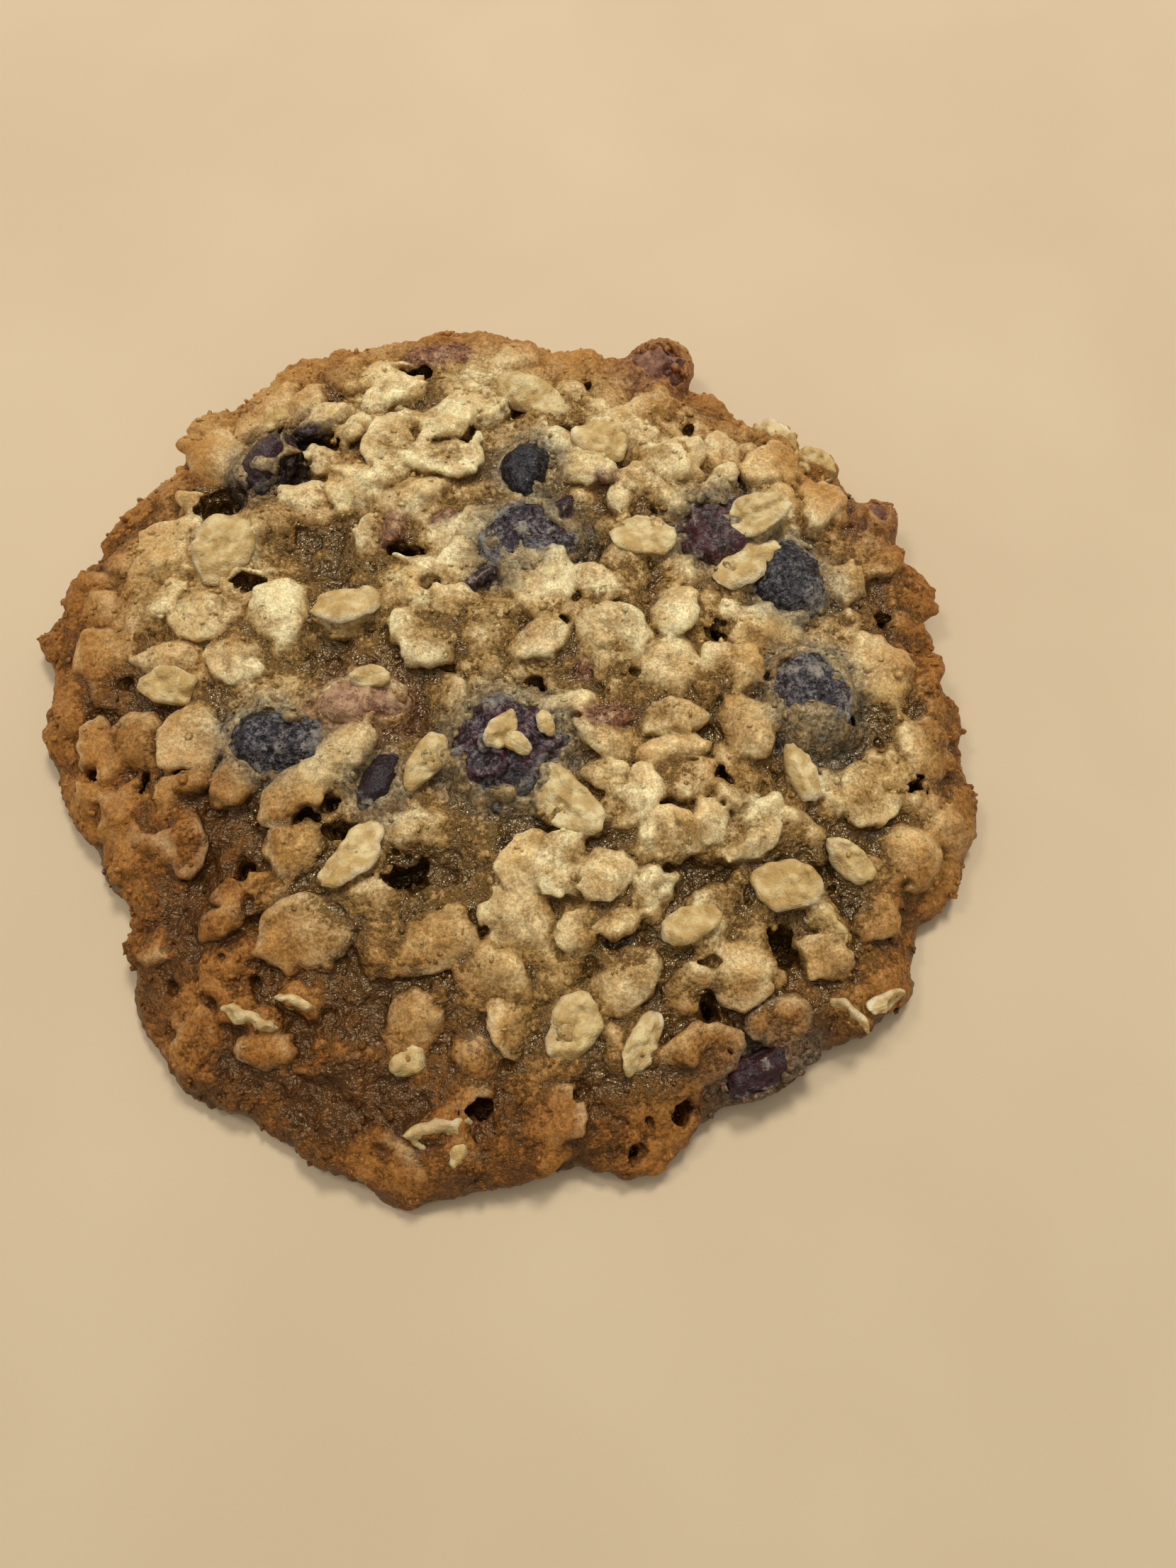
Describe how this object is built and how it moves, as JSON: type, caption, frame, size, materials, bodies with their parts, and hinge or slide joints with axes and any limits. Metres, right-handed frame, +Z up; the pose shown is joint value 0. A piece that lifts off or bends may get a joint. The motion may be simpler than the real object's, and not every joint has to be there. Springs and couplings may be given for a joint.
{
  "type": "oatmeal cranberry cookie",
  "caption": "Round flat oatmeal cookie with an uneven rim, a craggy top of rolled-oat flakes and dark cranberries sunk into it; it lies flat on a plate or tray.",
  "frame": {"origin": "under the middle of the cookie's bounding box, on the plane that the flat underside rests on", "axes": "+Z up through the thickness, +X to the right and +Y away from the viewer as the cookie lies in the picture"},
  "size_m": [0.1014, 0.1024, 0.0112],
  "materials": {
    "baked_dough": "baked oat dough: matte golden crumb over the flakes, shiny brown syrupy dough between them, browner at the rim",
    "oat_flake": "bare rolled-oat flakes: matte cream with fine lengthwise lines and toasted edges",
    "cranberry_skin": "wrinkled dark purple-red berry skin, satin to glossy, dusted with a grey film of dough"
  },
  "bodies": {
    "root": {"cookie_body": "baked_dough", "cranberry_01": "cranberry_skin", "cranberry_02": "cranberry_skin", "cranberry_03": "cranberry_skin", "cranberry_04": "cranberry_skin", "cranberry_05": "cranberry_skin", "cranberry_06": "cranberry_skin", "cranberry_07": "cranberry_skin", "cranberry_08": "cranberry_skin", "cranberry_09": "cranberry_skin", "cranberry_10": "cranberry_skin", "cranberry_11": "cranberry_skin", "cranberry_12": "cranberry_skin", "cranberry_13": "cranberry_skin"}
  },
  "joints": []
}
